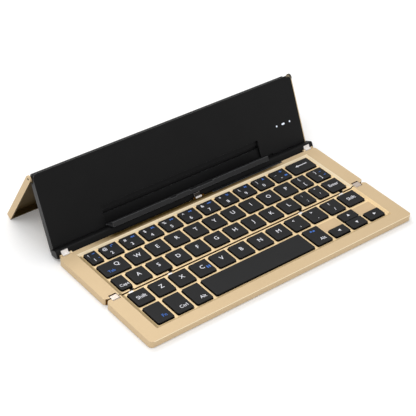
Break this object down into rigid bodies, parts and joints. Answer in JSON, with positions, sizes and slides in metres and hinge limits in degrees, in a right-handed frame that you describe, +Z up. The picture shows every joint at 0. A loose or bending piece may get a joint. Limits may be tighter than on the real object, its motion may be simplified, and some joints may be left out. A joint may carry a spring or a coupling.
{
  "type": "folding keyboard",
  "caption": "Pocket keyboard with two folding key panels, a leaning stand panel with a fold-out phone ledge, and a hollow prop flap behind it.",
  "frame": {"origin": "centre of the flat underside of the middle key panel", "axes": "+X to the typist's right along the rows of keys, +Y away from the typist towards the stand, +Z up"},
  "size_m": [0.2438, 0.1765, 0.0567],
  "materials": {
    "gold_metal": "anodised gold, satin",
    "gold_cover": "anodised gold, satin",
    "black_plastic": "black, fine matt",
    "key_plastic": "black, fine matt",
    "silver_metal": "silver, satin",
    "steel": "plain steel",
    "silicone": "translucent grey silicone",
    "foot_rubber": "black rubber",
    "cell_foil": "silver foil pouch",
    "circuit_board": "green solder mask",
    "light_pipe": "clear, lit blue-white"
  },
  "bodies": {
    "middle_panel": {"middle_top_cover": "gold_metal", "middle_bottom_cover": "gold_cover", "middle_key_plate": "steel", "middle_dome_sheet": "silicone", "middle_feet": "foot_rubber", "middle_screws": "steel", "cable_cover": "black_plastic", "stand_hinge_pins": "steel"},
    "fold_link_pair": {"fold_links": "silver_metal", "fold_pins": "steel"},
    "front_panel": {"front_top_cover": "gold_metal", "front_bottom_cover": "gold_cover", "front_key_plate": "steel", "front_dome_sheet": "silicone", "front_feet": "foot_rubber", "front_screws": "steel", "fold_tabs": "silver_metal"},
    "stand": {"stand_tray": "black_plastic", "stand_back_plate": "gold_cover", "spine": "black_plastic", "stand_hinge_leaves": "silver_metal", "battery": "cell_foil", "control_board": "circuit_board", "status_lights": "light_pipe", "charging_socket": "steel", "ledge_pin": "steel"},
    "ledge": {"phone_ledge": "black_plastic"},
    "flap": {"support_flap": "gold_metal", "flap_pin": "steel"},
    "key_q": {"key_q": "key_plastic"},
    "key_w": {"key_w": "key_plastic"},
    "key_e": {"key_e": "key_plastic"},
    "key_r": {"key_r": "key_plastic"},
    "key_t": {"key_t": "key_plastic"},
    "key_y": {"key_y": "key_plastic"},
    "key_u": {"key_u": "key_plastic"},
    "key_i": {"key_i": "key_plastic"},
    "key_o": {"key_o": "key_plastic"},
    "key_p": {"key_p": "key_plastic"},
    "key_a": {"key_a": "key_plastic"},
    "key_s": {"key_s": "key_plastic"},
    "key_d": {"key_d": "key_plastic"},
    "key_f": {"key_f": "key_plastic"},
    "key_g": {"key_g": "key_plastic"},
    "key_h": {"key_h": "key_plastic"},
    "key_j": {"key_j": "key_plastic"},
    "key_k": {"key_k": "key_plastic"},
    "key_l": {"key_l": "key_plastic"},
    "key_z": {"key_z": "key_plastic"},
    "key_x": {"key_x": "key_plastic"},
    "key_c": {"key_c": "key_plastic"},
    "key_v": {"key_v": "key_plastic"},
    "key_b": {"key_b": "key_plastic"},
    "key_n": {"key_n": "key_plastic"},
    "key_m": {"key_m": "key_plastic"},
    "space_bar": {"space_bar": "key_plastic"},
    "number_row_keys": {"number_row_keys": "key_plastic"},
    "middle_side_keys": {"middle_side_keys": "key_plastic"},
    "front_side_keys": {"front_side_keys": "key_plastic"},
    "arrow_keys": {"arrow_keys": "key_plastic"}
  },
  "joints": [
    {"name": "middle_panel_fold", "type": "hinge", "parent": "fold_link_pair", "child": "middle_panel", "pos_m": [0, -0.027, 0.004], "axis": [1, 0, 0], "range_deg": [0, 90]},
    {"name": "front_panel_fold", "type": "hinge", "parent": "fold_link_pair", "child": "front_panel", "pos_m": [0, -0.0304, 0.004], "axis": [-1, 0, 0], "range_deg": [0, 90]},
    {"name": "stand_turn", "type": "hinge", "parent": "middle_panel", "child": "stand", "pos_m": [0, 0.0287, 0.005], "axis": [1, 0, 0], "range_deg": [0, 116]},
    {"name": "ledge_fold", "type": "hinge", "parent": "stand", "child": "ledge", "pos_m": [0, 0.03843, 0.00659], "axis": [-1, 0, 0], "range_deg": [0, 90]},
    {"name": "flap_turn", "type": "hinge", "parent": "stand", "child": "flap", "pos_m": [0, 0.06433, 0.05193], "axis": [-1, 0, 0], "range_deg": [0, 55.69]},
    {"name": "key_q_press", "type": "slide", "parent": "middle_panel", "child": "key_q", "axis": [0, 0, -1], "range_m": [0, 0.0011], "stiffness_N_per_m": 545, "springref_m": -0.0005},
    {"name": "key_w_press", "type": "slide", "parent": "middle_panel", "child": "key_w", "axis": [0, 0, -1], "range_m": [0, 0.0011], "stiffness_N_per_m": 545, "springref_m": -0.0005},
    {"name": "key_e_press", "type": "slide", "parent": "middle_panel", "child": "key_e", "axis": [0, 0, -1], "range_m": [0, 0.0011], "stiffness_N_per_m": 545, "springref_m": -0.0005},
    {"name": "key_r_press", "type": "slide", "parent": "middle_panel", "child": "key_r", "axis": [0, 0, -1], "range_m": [0, 0.0011], "stiffness_N_per_m": 545, "springref_m": -0.0005},
    {"name": "key_t_press", "type": "slide", "parent": "middle_panel", "child": "key_t", "axis": [0, 0, -1], "range_m": [0, 0.0011], "stiffness_N_per_m": 545, "springref_m": -0.0005},
    {"name": "key_y_press", "type": "slide", "parent": "middle_panel", "child": "key_y", "axis": [0, 0, -1], "range_m": [0, 0.0011], "stiffness_N_per_m": 545, "springref_m": -0.0005},
    {"name": "key_u_press", "type": "slide", "parent": "middle_panel", "child": "key_u", "axis": [0, 0, -1], "range_m": [0, 0.0011], "stiffness_N_per_m": 545, "springref_m": -0.0005},
    {"name": "key_i_press", "type": "slide", "parent": "middle_panel", "child": "key_i", "axis": [0, 0, -1], "range_m": [0, 0.0011], "stiffness_N_per_m": 545, "springref_m": -0.0005},
    {"name": "key_o_press", "type": "slide", "parent": "middle_panel", "child": "key_o", "axis": [0, 0, -1], "range_m": [0, 0.0011], "stiffness_N_per_m": 545, "springref_m": -0.0005},
    {"name": "key_p_press", "type": "slide", "parent": "middle_panel", "child": "key_p", "axis": [0, 0, -1], "range_m": [0, 0.0011], "stiffness_N_per_m": 545, "springref_m": -0.0005},
    {"name": "key_a_press", "type": "slide", "parent": "middle_panel", "child": "key_a", "axis": [0, 0, -1], "range_m": [0, 0.0011], "stiffness_N_per_m": 545, "springref_m": -0.0005},
    {"name": "key_s_press", "type": "slide", "parent": "middle_panel", "child": "key_s", "axis": [0, 0, -1], "range_m": [0, 0.0011], "stiffness_N_per_m": 545, "springref_m": -0.0005},
    {"name": "key_d_press", "type": "slide", "parent": "middle_panel", "child": "key_d", "axis": [0, 0, -1], "range_m": [0, 0.0011], "stiffness_N_per_m": 545, "springref_m": -0.0005},
    {"name": "key_f_press", "type": "slide", "parent": "middle_panel", "child": "key_f", "axis": [0, 0, -1], "range_m": [0, 0.0011], "stiffness_N_per_m": 545, "springref_m": -0.0005},
    {"name": "key_g_press", "type": "slide", "parent": "middle_panel", "child": "key_g", "axis": [0, 0, -1], "range_m": [0, 0.0011], "stiffness_N_per_m": 545, "springref_m": -0.0005},
    {"name": "key_h_press", "type": "slide", "parent": "middle_panel", "child": "key_h", "axis": [0, 0, -1], "range_m": [0, 0.0011], "stiffness_N_per_m": 545, "springref_m": -0.0005},
    {"name": "key_j_press", "type": "slide", "parent": "middle_panel", "child": "key_j", "axis": [0, 0, -1], "range_m": [0, 0.0011], "stiffness_N_per_m": 545, "springref_m": -0.0005},
    {"name": "key_k_press", "type": "slide", "parent": "middle_panel", "child": "key_k", "axis": [0, 0, -1], "range_m": [0, 0.0011], "stiffness_N_per_m": 545, "springref_m": -0.0005},
    {"name": "key_l_press", "type": "slide", "parent": "middle_panel", "child": "key_l", "axis": [0, 0, -1], "range_m": [0, 0.0011], "stiffness_N_per_m": 545, "springref_m": -0.0005},
    {"name": "key_z_press", "type": "slide", "parent": "front_panel", "child": "key_z", "axis": [0, 0, -1], "range_m": [0, 0.0011], "stiffness_N_per_m": 545, "springref_m": -0.0005},
    {"name": "key_x_press", "type": "slide", "parent": "front_panel", "child": "key_x", "axis": [0, 0, -1], "range_m": [0, 0.0011], "stiffness_N_per_m": 545, "springref_m": -0.0005},
    {"name": "key_c_press", "type": "slide", "parent": "front_panel", "child": "key_c", "axis": [0, 0, -1], "range_m": [0, 0.0011], "stiffness_N_per_m": 545, "springref_m": -0.0005},
    {"name": "key_v_press", "type": "slide", "parent": "front_panel", "child": "key_v", "axis": [0, 0, -1], "range_m": [0, 0.0011], "stiffness_N_per_m": 545, "springref_m": -0.0005},
    {"name": "key_b_press", "type": "slide", "parent": "front_panel", "child": "key_b", "axis": [0, 0, -1], "range_m": [0, 0.0011], "stiffness_N_per_m": 545, "springref_m": -0.0005},
    {"name": "key_n_press", "type": "slide", "parent": "front_panel", "child": "key_n", "axis": [0, 0, -1], "range_m": [0, 0.0011], "stiffness_N_per_m": 545, "springref_m": -0.0005},
    {"name": "key_m_press", "type": "slide", "parent": "front_panel", "child": "key_m", "axis": [0, 0, -1], "range_m": [0, 0.0011], "stiffness_N_per_m": 545, "springref_m": -0.0005},
    {"name": "space_bar_press", "type": "slide", "parent": "front_panel", "child": "space_bar", "axis": [0, 0, -1], "range_m": [0, 0.0011], "stiffness_N_per_m": 545, "springref_m": -0.0005},
    {"name": "number_row_keys_press", "type": "slide", "parent": "middle_panel", "child": "number_row_keys", "axis": [0, 0, -1], "range_m": [0, 0.0011], "stiffness_N_per_m": 545, "springref_m": -0.0005},
    {"name": "middle_side_keys_press", "type": "slide", "parent": "middle_panel", "child": "middle_side_keys", "axis": [0, 0, -1], "range_m": [0, 0.0011], "stiffness_N_per_m": 545, "springref_m": -0.0005},
    {"name": "front_side_keys_press", "type": "slide", "parent": "front_panel", "child": "front_side_keys", "axis": [0, 0, -1], "range_m": [0, 0.0011], "stiffness_N_per_m": 545, "springref_m": -0.0005},
    {"name": "arrow_keys_press", "type": "slide", "parent": "front_panel", "child": "arrow_keys", "axis": [0, 0, -1], "range_m": [0, 0.0011], "stiffness_N_per_m": 545, "springref_m": -0.0005}
  ],
  "couplings": [
    {"joint": "front_panel_fold", "follows": "middle_panel_fold", "ratio": 1},
    {"joint": "ledge_fold", "follows": "stand_turn", "ratio": 0.77586}
  ]
}
